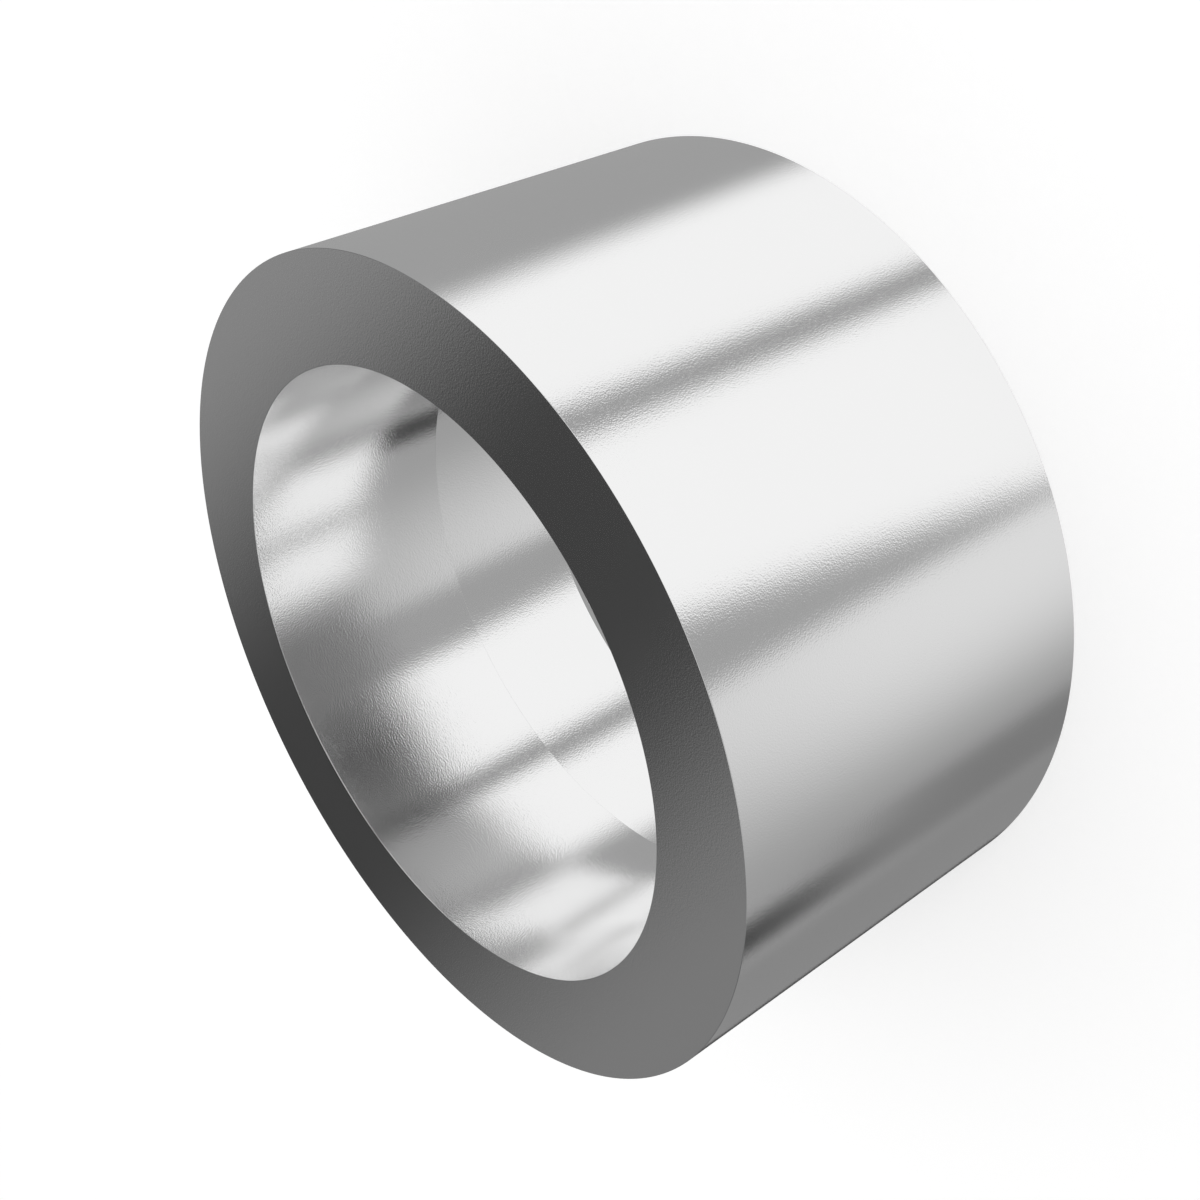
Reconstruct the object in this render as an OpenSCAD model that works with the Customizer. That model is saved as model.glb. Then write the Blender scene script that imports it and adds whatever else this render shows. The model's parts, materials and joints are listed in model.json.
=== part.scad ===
// Plain cylindrical bushing, turned in one piece, with its bore relieved at one end.
// The relief is a shallow counterbore with a chamfered mouth.
// It stands on the relieved end: the origin is on the axis at that face, and +Z
// points up the axis to the plain face, where the narrower land of the bore begins.

/* [Body] */
// Length from face to face
length = 12.1; // [9:0.1:60]
// Thickness of the wall round the land, which sets the outer diameter
wall = 3; // [2.2:0.1:8]

/* [Bore] */
// Diameter of the land, which guides the shaft
bore_d = 18; // [6:0.1:60]
// Depth of the relief, from the lower face to the shoulder
relief_depth = 5.3; // [1:0.1:8]
// How far the relief is cut back from the land, all round
relief_step = 0.8; // [0.4:0.05:1.2]
// Width of the 45 degree chamfer at the relief's mouth
mouth_chamfer = 0.45; // [0.2:0.05:0.6]

/* [Edges] */
// Width of the broken edge on the other outward corners
edge_break = 0.03; // [0.01:0.01:0.08]
// Radius that the boring tool leaves in the corner between relief and shoulder
corner_r = 0.2; // [0.1:0.05:0.3]

/* [Hidden] */
$fn = 256;
bore_r = bore_d / 2;
outer_r = bore_r + wall;
relief_r = bore_r + relief_step;
mouth_r = relief_r + mouth_chamfer;

// Section of the wall on one side of the axis, as [radius, height], from the relief's mouth.
// A square of metal stays in the shoulder's corner, for the tool's radius to be cut from.
turned_outline = [
    [mouth_r, 0],
    [outer_r - edge_break, 0],
    [outer_r, edge_break],
    [outer_r, length - edge_break],
    [outer_r - edge_break, length],
    [bore_r + edge_break, length],
    [bore_r, length - edge_break],
    [bore_r, relief_depth + edge_break],
    [bore_r + edge_break, relief_depth],
    [relief_r - corner_r, relief_depth],
    [relief_r - corner_r, relief_depth - corner_r],
    [relief_r, relief_depth - corner_r],
    [relief_r, mouth_chamfer]
];

module wall_section() {
    difference() {
        polygon(turned_outline);
        translate([relief_r - corner_r, relief_depth - corner_r])
            circle(corner_r);
    }
}

// The whole bushing: one section turned about the axis
module bushing() {
    color([0.90, 0.90, 0.90])
        rotate_extrude()
            wall_section();
}

bushing();
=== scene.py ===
# Bushing: one turned ring of bright steel, standing on its relieved end in a plain white studio.
import json
import math

import bpy
from mathutils import Matrix, Vector


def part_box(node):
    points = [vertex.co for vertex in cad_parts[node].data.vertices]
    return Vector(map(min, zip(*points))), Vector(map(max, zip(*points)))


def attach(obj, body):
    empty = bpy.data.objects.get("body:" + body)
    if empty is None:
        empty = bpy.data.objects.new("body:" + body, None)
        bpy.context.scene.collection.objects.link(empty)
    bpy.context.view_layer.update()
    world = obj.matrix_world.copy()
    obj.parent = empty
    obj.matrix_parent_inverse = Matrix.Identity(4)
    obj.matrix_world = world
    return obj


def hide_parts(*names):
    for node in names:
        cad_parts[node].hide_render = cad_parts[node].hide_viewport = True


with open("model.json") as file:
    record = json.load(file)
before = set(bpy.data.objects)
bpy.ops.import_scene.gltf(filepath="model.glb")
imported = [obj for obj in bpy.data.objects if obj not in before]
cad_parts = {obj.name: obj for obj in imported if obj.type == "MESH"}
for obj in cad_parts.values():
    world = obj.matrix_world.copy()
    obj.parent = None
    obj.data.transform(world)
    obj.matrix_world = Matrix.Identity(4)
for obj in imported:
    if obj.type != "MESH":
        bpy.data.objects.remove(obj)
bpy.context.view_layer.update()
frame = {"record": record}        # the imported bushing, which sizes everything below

mounts = {mount["name"]: mount for mount in frame["record"]["mounts"]}
print("frame loaded")


def addObject(name, data):
    item = bpy.data.objects.new(name, data)
    bpy.context.scene.collection.objects.link(item)
    return item


# camera
camera = {
    "sensor": 36.0,       # mm wide
    "lens": 49.90,        # mm
    "shift": (0.00018, 0.0002),   # of the sensor's width
    "elevation": 32.54,   # degrees above the floor, from the -Y side
    "roll": -116.53,      # degrees, for the picture holds the ring on its side
    "distance": 4.0382,   # from the ring's middle, in outer radii
    "clip": (0.02, 2000), # nearest and farthest seen, in outer radii
}


def makeCamera(middle, outerR):
    data = bpy.data.cameras.new("camera")
    data.sensor_width = camera["sensor"]
    data.lens = camera["lens"]
    data.shift_x, data.shift_y = camera["shift"]
    data.clip_start = outerR * camera["clip"][0]
    data.clip_end = outerR * camera["clip"][1]
    tilt = math.radians(camera["elevation"])
    back = Vector((0, -math.cos(tilt), math.sin(tilt)))
    item = addObject("camera", data)
    item.matrix_world = (
        Matrix.Translation(middle + back * camera["distance"] * outerR)
        @ Matrix.Rotation(math.pi / 2 - tilt, 4, "X")
        @ Matrix.Rotation(math.radians(camera["roll"]), 4, "Z")
    )
    bpy.context.scene.camera = item


# ring
low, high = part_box("bushing")
ring = {
    "outerR": mounts["outside"]["dims"]["r_mm"] / 1000,
    "boreR": mounts["bore"]["dims"]["r_mm"] / 1000,
    "reliefR": mounts["relief"]["dims"]["r_mm"] / 1000,
    "length": high.z - low.z,
    "landMiddle": mounts["bore"]["pos_m"][2],
    "landRun": mounts["bore"]["dims"]["length_mm"] / 1000,     # between its broken edges
    "reliefMiddle": mounts["relief"]["pos_m"][2],
    "reliefRun": mounts["relief"]["dims"]["length_mm"] / 1000,
    "edgeShare": 0.4,     # of the broken edge's width, for a crisp rim
    "chamferTurn": 45,    # degrees that the section turns at each end of the chamfer
    "turns": 480,         # faces round the ring
    "cornerSteps": 6,     # faces across each rounded corner
}


def corner(centreR, centreZ, radius, start, end):
    # points (r, z, normal r, normal z) round one corner of the section
    points = []
    side = 1 if end > start else -1      # a hollow corner faces its own centre
    for step in range(ring["cornerSteps"] + 1):
        angle = math.radians(start + (end - start) * step / ring["cornerSteps"])
        across, along = math.cos(angle), math.sin(angle)
        points.append((centreR + radius * across, centreZ + radius * along, side * across, side * along))
    return points


def ringSection():
    outer, bore, relief, top = ring["outerR"], ring["boreR"], ring["reliefR"], ring["length"]
    edge = top - ring["landMiddle"] - ring["landRun"] / 2
    shoulder = ring["landMiddle"] - ring["landRun"] / 2 - edge
    chamfer = ring["reliefMiddle"] - ring["reliefRun"] / 2
    toolR = shoulder - chamfer - ring["reliefRun"]
    soft = edge * ring["edgeShare"]
    turn = ring["chamferTurn"]
    rise = soft * math.tan(math.radians(turn / 2))      # from a corner's point to where its round starts
    return (
        corner(outer - soft, soft, soft, -90, 0)
        + corner(outer - soft, top - soft, soft, 0, 90)
        + corner(bore + soft, top - soft, soft, 90, 180)
        + corner(bore + soft, shoulder + soft, soft, 180, 270)
        + corner(relief - toolR, shoulder - toolR, toolR, 90, 0)
        + corner(relief + soft, chamfer + rise, soft, 180, 180 + turn)
        + corner(relief + chamfer + rise, soft, soft, 180 + turn, 270)
    )


def turnRing():
    section = ringSection()
    verts, normals, faces = [], [], []
    for turn in range(ring["turns"]):
        angle = 2 * math.pi * turn / ring["turns"]
        c, s = math.cos(angle), math.sin(angle)
        for r, z, normalR, normalZ in section:
            verts.append((r * c, r * s, z))
            normals.append((normalR * c, normalR * s, normalZ))
    count = len(section)
    for turn in range(ring["turns"]):
        here, there = turn * count, (turn + 1) % ring["turns"] * count
        for i in range(count):
            j = (i + 1) % count
            faces.append((here + i, there + i, there + j, here + j))
    mesh = bpy.data.meshes.new("turned_ring")
    mesh.from_pydata(verts, [], faces)
    mesh.update()
    mesh.shade_smooth()
    mesh.normals_split_custom_set_from_vertices(normals)
    item = addObject("turned_ring", mesh)
    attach(item, "root")
    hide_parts("bushing")
    print("ring turned:", len(faces), "faces")
    return item


# node helpers: a value is a plain number or another node's output
def addNode(tree, kind, **values):
    node = tree.nodes.new(kind)
    for name, value in values.items():
        setattr(node, name, value)
    return node


def feed(tree, sockets, values):
    for socket, value in zip(sockets, values):
        if isinstance(value, (int, float)):
            socket.default_value = value
        else:
            tree.links.new(value, socket)


def mathNode(tree, operation, *values, clamp=False):
    node = addNode(tree, "ShaderNodeMath", operation=operation, use_clamp=clamp)
    feed(tree, node.inputs, values)
    return node.outputs[0]


def mixLevel(tree, factor, first, second):
    mix = addNode(tree, "ShaderNodeMix", data_type="FLOAT")
    feed(tree, [mix.inputs[name] for name in ("Factor", "A", "B")], (factor, first, second))
    return mix.outputs["Result"]


def splitPlace(tree, space):
    place = addNode(tree, "ShaderNodeTexCoord").outputs[space]
    split = addNode(tree, "ShaderNodeSeparateXYZ")
    tree.links.new(place, split.inputs[0])
    return place, *split.outputs


# steel
steel = {
    "colour": 0.94,
    "colourDrift": 0.006,
    "roughness": 0.12,
    "roughnessDrift": 0.01,
    "driftScale": 260.0,       # patches to a metre
    "driftDetail": 3.0,
    "grainSize": 0.00004,      # m, satin grain
    "grainDepth": 0.0000019,
    "grainDetail": 1.0,
    "boreGrainSize": 0.00005,  # the boring tool leaves a coarser grain than the grinder
    "boreGrainDepth": 0.0000028,
    "boreMargin": 0.00004,     # m past the relief's wall that still counts as bore
    "markPitch": 0.00009,      # m, from one turning mark to the next
    "markRun": 0.0025,         # m along a mark before it changes
    "markDepth": 0.00000002,
    "markDetail": 2.0,
}


def noiseLevel(tree, place, scale, detail):
    noise = addNode(tree, "ShaderNodeTexNoise")
    feed(tree, [noise.inputs[name] for name in ("Vector", "Scale", "Detail")], (place, scale, detail))
    return noise.outputs[0]


def bumpNode(tree, height, depth):
    bump = addNode(tree, "ShaderNodeBump")
    feed(tree, (bump.inputs["Height"], bump.inputs["Distance"]), (height, depth))
    return bump


def makeSteel():
    material = bpy.data.materials.new("turned_steel")
    material.use_nodes = True
    tree = material.node_tree
    shader = tree.nodes["Principled BSDF"]
    shader.inputs["Metallic"].default_value = 1.0
    place, x, y, z = splitPlace(tree, "Object")
    squares = mathNode(tree, "ADD", mathNode(tree, "MULTIPLY", x, x), mathNode(tree, "MULTIPLY", y, y))
    radius = mathNode(tree, "SQRT", squares)

    # 1 on the land, the shoulder and the relief, 0 on the faces, the chamfer and the outside
    withinWalls = mathNode(tree, "LESS_THAN", radius, ring["reliefR"] + steel["boreMargin"])
    belowTop = mathNode(tree, "LESS_THAN", z, ring["length"] - steel["boreMargin"])
    inBore = mathNode(tree, "MULTIPLY", withinWalls, belowTop)

    # turning marks run round the axis, on the walls and on the faces alike
    markPlace = addNode(tree, "ShaderNodeCombineXYZ")
    feed(tree, markPlace.inputs, (
        mathNode(tree, "MULTIPLY", x, 1 / steel["markRun"]),
        mathNode(tree, "MULTIPLY", y, 1 / steel["markRun"]),
        mathNode(tree, "MULTIPLY", mathNode(tree, "ADD", radius, z), 1 / steel["markPitch"]),
    ))
    marks = noiseLevel(tree, markPlace.outputs[0], 1.0, steel["markDetail"])
    markBump = bumpNode(tree, marks, steel["markDepth"])

    grainScale = mixLevel(tree, inBore, 1 / steel["grainSize"], 1 / steel["boreGrainSize"])
    grain = noiseLevel(tree, place, grainScale, steel["grainDetail"])
    grainDepth = mixLevel(tree, inBore, steel["grainDepth"], steel["boreGrainDepth"])
    grainBump = bumpNode(tree, grain, grainDepth)
    tree.links.new(markBump.outputs[0], grainBump.inputs["Normal"])
    tree.links.new(grainBump.outputs[0], shader.inputs["Normal"])

    # a slow drift in finish and tone, as handling and the grinder leave
    drift = noiseLevel(tree, place, steel["driftScale"], steel["driftDetail"])
    rough = addNode(tree, "ShaderNodeMapRange")
    rough.inputs["To Min"].default_value = steel["roughness"] - steel["roughnessDrift"]
    rough.inputs["To Max"].default_value = steel["roughness"] + steel["roughnessDrift"]
    tree.links.new(drift, rough.inputs["Value"])
    tree.links.new(rough.outputs[0], shader.inputs["Roughness"])
    tone = addNode(tree, "ShaderNodeValToRGB")
    for stop, change in zip(tone.color_ramp.elements, (-steel["colourDrift"], steel["colourDrift"])):
        stop.color = (steel["colour"] + change,) * 3 + (1,)
    tree.links.new(drift, tone.inputs["Fac"])
    tree.links.new(tone.outputs["Color"], shader.inputs["Base Color"])
    return material


# studio: a white background, with grey and black cards before it that only the metal sees.
# Angles are in degrees, and azimuth runs from the camera's side towards +X. A side edge is
# (azimuth, softness) or (azimuth, softness, lean, bow), where lean and bow move it by degrees
# per degree and per squared degree above leanFrom. A low or high edge is (elevation, softness).
# Each card stands before the ones listed above it.
studio = {
    "white": 1.0,             # what the camera and the metal see with no card before it
    "whiteRays": ("Is Camera Ray", "Is Glossy Ray", "Is Transmission Ray"),
    "plainLight": 0.8,        # what the floor is lit by
    "cardlessRays": ("Is Camera Ray", "Is Diffuse Ray"),
    "leanFrom": -35,
    "leanRange": (-50, -14),  # no edge leans further below or above this, unless its card says so
    "openTop": (70, 20),      # the high edge of a card that names none
    "bounces": 12,            # light crosses the bore many times
}
cards = [
    {"name": "silk", "level": 0.94},
    {"name": "side wall", "left": (93, 14, -0.45, 0), "right": (347, 6, 0.75, -0.03),
     "level": 0.35},
    {"name": "back wall", "left": (104, 20), "right": (262, 20), "low": (-25, 5), "level": 0.12},
    {"name": "back left", "left": (140, 20), "right": (180, 10), "low": (10, 20), "level": 0.25},
    {"name": "back right", "left": (180, 10), "right": (220, 20), "low": (10, 20), "level": 0.2},
    {"name": "fill", "left": (-63, 50), "right": (-32, 6), "high": (-26, 8), "level": 0.65},
    {"name": "lower fill", "left": (-66, 50), "right": (-32, 6), "high": (-36, 14), "level": 0.75},
    {"name": "gap in the silk", "left": (38, 4), "right": (47, 4), "level": 0.3},
    {"name": "shade", "left": (-152, 6), "right": (-114, 6), "high": (-27, 4), "level": 0.25},
    {"name": "flag", "left": (-110, 4), "right": (-98, 4), "low": (-36, 12), "level": 0.05},
    {"name": "lower flag", "left": (-113, 6), "right": (-91, 8), "high": (-36, 8), "level": 0.2},
    {"name": "thin flag", "left": (-159, 3), "right": (-153, 3), "level": 0},
    {"name": "low back flag", "left": (170, 14), "right": (235, 14),
     "low": (-25, 5), "high": (0, 10), "level": 0.05},
    {"name": "back flag", "left": (200, 12, -0.5, 0), "right": (205, 12, -0.25, 0),
     "low": (0, 20), "leanRange": (-50, 45), "level": 0.05},
    {"name": "ceiling", "low": (50, 20), "level": 0.8},
    {"name": "ground", "high": (-60, 20), "level": 0.3},
]


def fade(tree, value, middle, softness):
    # 0 to 1 as value rises past middle, or 1 to 0 for a negative softness
    step = addNode(tree, "ShaderNodeMapRange", interpolation_type="SMOOTHSTEP")
    step.inputs["From Min"].default_value = middle - softness / 2
    step.inputs["From Max"].default_value = middle + softness / 2
    tree.links.new(value, step.inputs["Value"])
    return step.outputs["Result"]


def sideFade(tree, aside, above, edge, centre, way):
    # way is 1 on a card's left edge and -1 on its right edge
    if len(edge) > 2:
        slope = mathNode(tree, "MULTIPLY_ADD", above, -edge[3], -edge[2])
        aside = mathNode(tree, "MULTIPLY_ADD", above, slope, aside)
    return fade(tree, aside, edge[0] - centre, way * edge[1])


def cardCover(tree, card, azimuth, elevation):
    parts = []
    if "left" in card:
        clamp = addNode(tree, "ShaderNodeClamp")
        feed(tree, clamp.inputs, (elevation, *card.get("leanRange", studio["leanRange"])))
        above = mathNode(tree, "SUBTRACT", clamp.outputs[0], studio["leanFrom"])
        centre = (card["left"][0] + card["right"][0]) / 2
        aside = mathNode(tree, "WRAP", mathNode(tree, "SUBTRACT", azimuth, centre), 180, -180)
        parts.append(sideFade(tree, aside, above, card["left"], centre, 1))
        parts.append(sideFade(tree, aside, above, card["right"], centre, -1))
    if "low" in card:
        parts.append(fade(tree, elevation, card["low"][0], card["low"][1]))
    highEdge = card.get("high", studio["openTop"])
    parts.append(fade(tree, elevation, highEdge[0], -highEdge[1]))
    cover = parts[0]
    for part in parts[1:]:
        cover = mathNode(tree, "MULTIPLY", cover, part)
    return cover


def rayLevel(tree, kinds):
    # 1 for rays of the kinds named, 0 for the rest
    light = addNode(tree, "ShaderNodeLightPath")
    level = light.outputs[kinds[0]]
    for kind in kinds[1:]:
        level = mathNode(tree, "ADD", level, light.outputs[kind], clamp=True)
    return level


def makeWorld():
    world = bpy.data.worlds.new("studio")
    bpy.context.scene.world = world
    world.use_nodes = True
    world.cycles.sampling_method = "NONE"      # the cards depend on the kind of ray
    tree = world.node_tree
    _, x, y, z = splitPlace(tree, "Generated")
    front = mathNode(tree, "MULTIPLY", y, -1)
    azimuth = mathNode(tree, "DEGREES", mathNode(tree, "ARCTAN2", x, front))
    elevation = mathNode(tree, "DEGREES", mathNode(tree, "ARCSINE", z))
    white = rayLevel(tree, studio["whiteRays"])
    background = mixLevel(tree, white, studio["plainLight"], studio["white"])
    level = background
    for card in cards:
        level = mixLevel(tree, cardCover(tree, card, azimuth, elevation), level, card["level"])
    cardless = rayLevel(tree, studio["cardlessRays"])
    sky = tree.nodes["Background"]
    sky.inputs["Color"].default_value = (1, 1, 1, 1)
    tree.links.new(mixLevel(tree, cardless, level, background), sky.inputs["Strength"])
    print("studio:", len(cards), "cards")


# floor: plain and pale, with the ring's soft shadow
floor = {
    "size": 6.0,          # m across
    "colour": 0.8,
    "glow": 0.36,         # brings the lit floor to the background's white
}


def makeFloor():
    half = floor["size"] / 2
    corners = [(-half, -half, 0), (half, -half, 0), (half, half, 0), (-half, half, 0)]
    mesh = bpy.data.meshes.new("floor")
    mesh.from_pydata(corners, [], [(0, 1, 2, 3)])
    item = addObject("floor", mesh)
    item.visible_glossy = False      # the cards reach below it, and the metal sees them there
    material = bpy.data.materials.new("floor")
    material.use_nodes = True
    tree = material.node_tree
    tree.nodes.remove(tree.nodes["Principled BSDF"])
    matt = addNode(tree, "ShaderNodeBsdfDiffuse")
    matt.inputs["Color"].default_value = (floor["colour"],) * 3 + (1,)
    glow = addNode(tree, "ShaderNodeEmission")
    strength = mathNode(tree, "MULTIPLY", rayLevel(tree, studio["whiteRays"]), floor["glow"])
    tree.links.new(strength, glow.inputs["Strength"])
    both = addNode(tree, "ShaderNodeAddShader")
    feed(tree, both.inputs, (matt.outputs[0], glow.outputs[0]))
    tree.links.new(both.outputs[0], tree.nodes["Material Output"].inputs["Surface"])
    mesh.materials.append(material)


# lamp: one soft disc over the camera's side
lamp = {
    "power": 0.02,        # W
    "size": 0.05,         # m across
    "place": (0.02, -0.10, 0.14),
}


def makeLamp(middle):
    data = bpy.data.lights.new("softbox", "AREA")
    data.shape = "DISK"
    data.size = lamp["size"]
    data.energy = lamp["power"]
    item = addObject("softbox", data)
    item.location = lamp["place"]
    item.rotation_mode = "QUATERNION"
    item.rotation_quaternion = (middle - item.location).to_track_quat("-Z", "Y")
    item.visible_glossy = False


middle = Vector((0, 0, ring["length"] / 2))
makeCamera(middle, ring["outerR"])
turnedRing = turnRing()
turnedRing.data.materials.append(makeSteel())
makeWorld()
makeFloor()
makeLamp(middle)
bpy.context.scene.view_settings.view_transform = "Standard"
bpy.context.scene.cycles.max_bounces = studio["bounces"]
bpy.context.scene.cycles.glossy_bounces = studio["bounces"]
print("scene ready")
